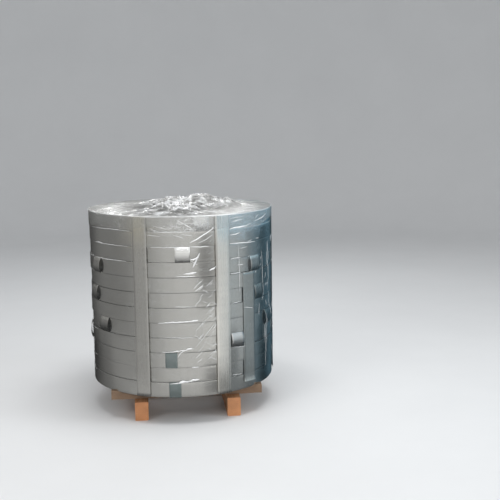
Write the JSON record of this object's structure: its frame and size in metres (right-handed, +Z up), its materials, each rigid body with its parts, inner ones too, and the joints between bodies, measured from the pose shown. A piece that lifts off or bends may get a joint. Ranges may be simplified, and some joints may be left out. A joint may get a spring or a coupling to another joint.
{
  "type": "palletised stack of slit steel coils",
  "caption": "Slit stainless steel coils stacked eye to the sky on a wooden skid, tied with bands, guarded with loose strips and wrapped in clear stretch film.",
  "frame": {"origin": "on the floor under the middle of the stack", "axes": "+Z up along the stack's axis; Y along the runners of the skid, -Y towards the viewer of the picture"},
  "size_m": [1.03, 1.03, 1.1548],
  "materials": {
    "coil_steel": "cold-rolled 2B",
    "strip_steel": "cold-rolled 2B",
    "timber": "rough sawn",
    "film": "clear, glossy"
  },
  "bodies": {
    "root": {"coil_01": "coil_steel", "coil_02": "coil_steel", "coil_03": "coil_steel", "coil_04": "coil_steel", "coil_05": "coil_steel", "coil_06": "coil_steel", "coil_07": "coil_steel", "coil_08": "coil_steel", "coil_09": "coil_steel", "coil_10": "coil_steel", "coil_11": "coil_steel", "coil_12": "coil_steel", "coil_01_ties": "strip_steel", "coil_02_ties": "strip_steel", "coil_03_ties": "strip_steel", "coil_04_ties": "strip_steel", "coil_05_ties": "strip_steel", "coil_06_ties": "strip_steel", "coil_07_ties": "strip_steel", "coil_08_ties": "strip_steel", "coil_09_ties": "strip_steel", "coil_10_ties": "strip_steel", "coil_11_ties": "strip_steel", "coil_12_ties": "strip_steel", "guard_strip_1": "strip_steel", "guard_strip_2": "strip_steel", "guard_strip_3": "strip_steel", "guard_strip_4": "strip_steel", "slipped_strip": "strip_steel", "skid_board_1": "timber", "skid_board_2": "timber", "skid_board_3": "timber", "skid_runner_left": "timber", "skid_runner_right": "timber", "film_side": "film", "film_top": "film", "film_heap": "film"}
  },
  "joints": []
}
